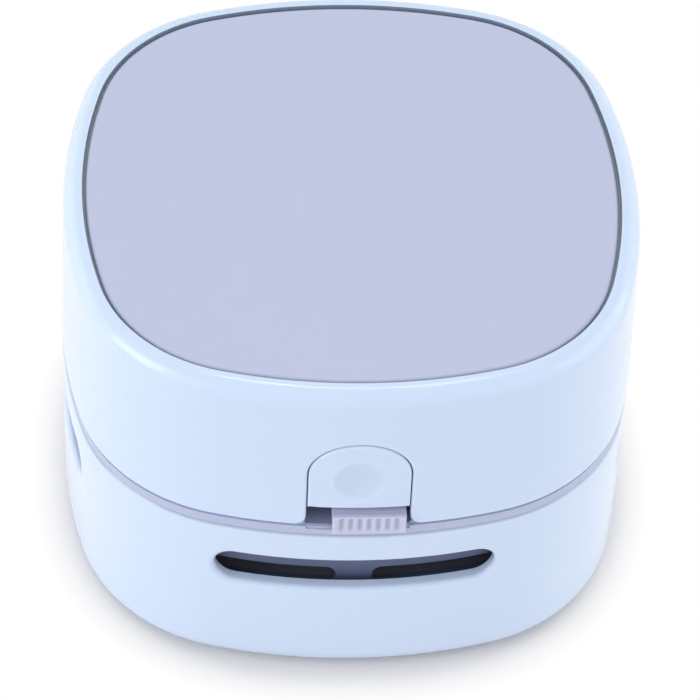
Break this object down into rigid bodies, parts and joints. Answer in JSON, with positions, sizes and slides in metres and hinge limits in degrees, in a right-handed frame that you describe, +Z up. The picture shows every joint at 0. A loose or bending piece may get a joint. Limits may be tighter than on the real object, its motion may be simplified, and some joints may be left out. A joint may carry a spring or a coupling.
{
  "type": "desktop mini vacuum cleaner",
  "caption": "Small rounded-square desk vacuum: dust box with floor intake below, motor unit with push-button latch and power slider above.",
  "frame": {"origin": "on the desk, under the middle of the body", "axes": "+Z up, front with the push button towards -Y, +X to the right seen from the front"},
  "size_m": [0.086, 0.0866, 0.06],
  "materials": {
    "shell": "glossy pale blue ABS",
    "panel": "satin blue-grey ABS",
    "lavender": "satin pale lavender ABS",
    "navy_plastic": "satin dark navy ABS",
    "dark_plastic": "fine matte dark plastic",
    "white_plastic": "plain white moulding",
    "bristle": "nylon bristle",
    "rubber": "matte soft rubber",
    "screw": "zinc-plated",
    "filter": "non-woven filter cloth",
    "steel": "ground",
    "motor_steel": "rolled and plated",
    "brass": "stamped",
    "cell_sleeve": "shrink sleeve over the can",
    "nickel": "nickel-plated sheet",
    "board": "green solder mask",
    "light_pipe": "clear acrylic light pipe"
  },
  "bodies": {
    "dust_box": {"lower_shell": "shell", "intake_nozzle": "dark_plastic", "nozzle_screws": "screw", "brush_carriers": "dark_plastic", "brush_bristles": "bristle", "feet": "rubber"},
    "machine": {"upper_shell": "shell", "top_panel": "panel", "fan_housing": "lavender", "exhaust_ring": "navy_plastic", "slider_track": "navy_plastic", "inlet_bulkhead": "lavender", "housing_screws": "screw", "chamber_seal": "rubber", "motor_can": "motor_steel", "motor_end_cap": "dark_plastic", "motor_terminals": "brass", "motor_damper": "rubber", "motor_screws": "screw", "battery_cell": "cell_sleeve", "cell_cradle": "white_plastic", "cell_contacts": "nickel", "cell_straps": "dark_plastic", "latch_guide": "white_plastic", "guide_screws": "screw", "button_spring": "steel", "slide_switch": "nickel", "control_board": "board", "board_chips": "dark_plastic", "charge_board": "board", "usb_socket": "nickel", "charge_light": "light_pipe"},
    "push_button": {"push_button": "shell", "latch_arms": "white_plastic"},
    "slider": {"slider_knob": "lavender", "switch_lever": "dark_plastic"},
    "rotor": {"impeller": "white_plastic", "motor_shaft": "steel"},
    "filter": {"filter_frame": "white_plastic", "filter_cloth": "filter", "filter_gasket": "rubber"}
  },
  "joints": [
    {"name": "lift_off", "type": "slide", "parent": "dust_box", "child": "machine", "axis": [0, 0, 1], "range_m": [0, 0.045]},
    {"name": "button_press", "type": "slide", "parent": "machine", "child": "push_button", "axis": [0, 1, 0], "range_m": [0, 0.0018], "stiffness_N_per_m": 900, "springref_m": -0.0012, "deforming": ["button_spring"]},
    {"name": "power_slide", "type": "slide", "parent": "machine", "child": "slider", "axis": [1, 0, 0], "range_m": [-0.0028, 0]},
    {"name": "fan_spin", "type": "hinge", "parent": "machine", "child": "rotor", "pos_m": [0, 0, 0.02], "axis": [0, 0, 1], "continuous": true},
    {"name": "filter_pull", "type": "slide", "parent": "machine", "child": "filter", "axis": [0, 0, -1], "range_m": [0, 0.0034]}
  ]
}
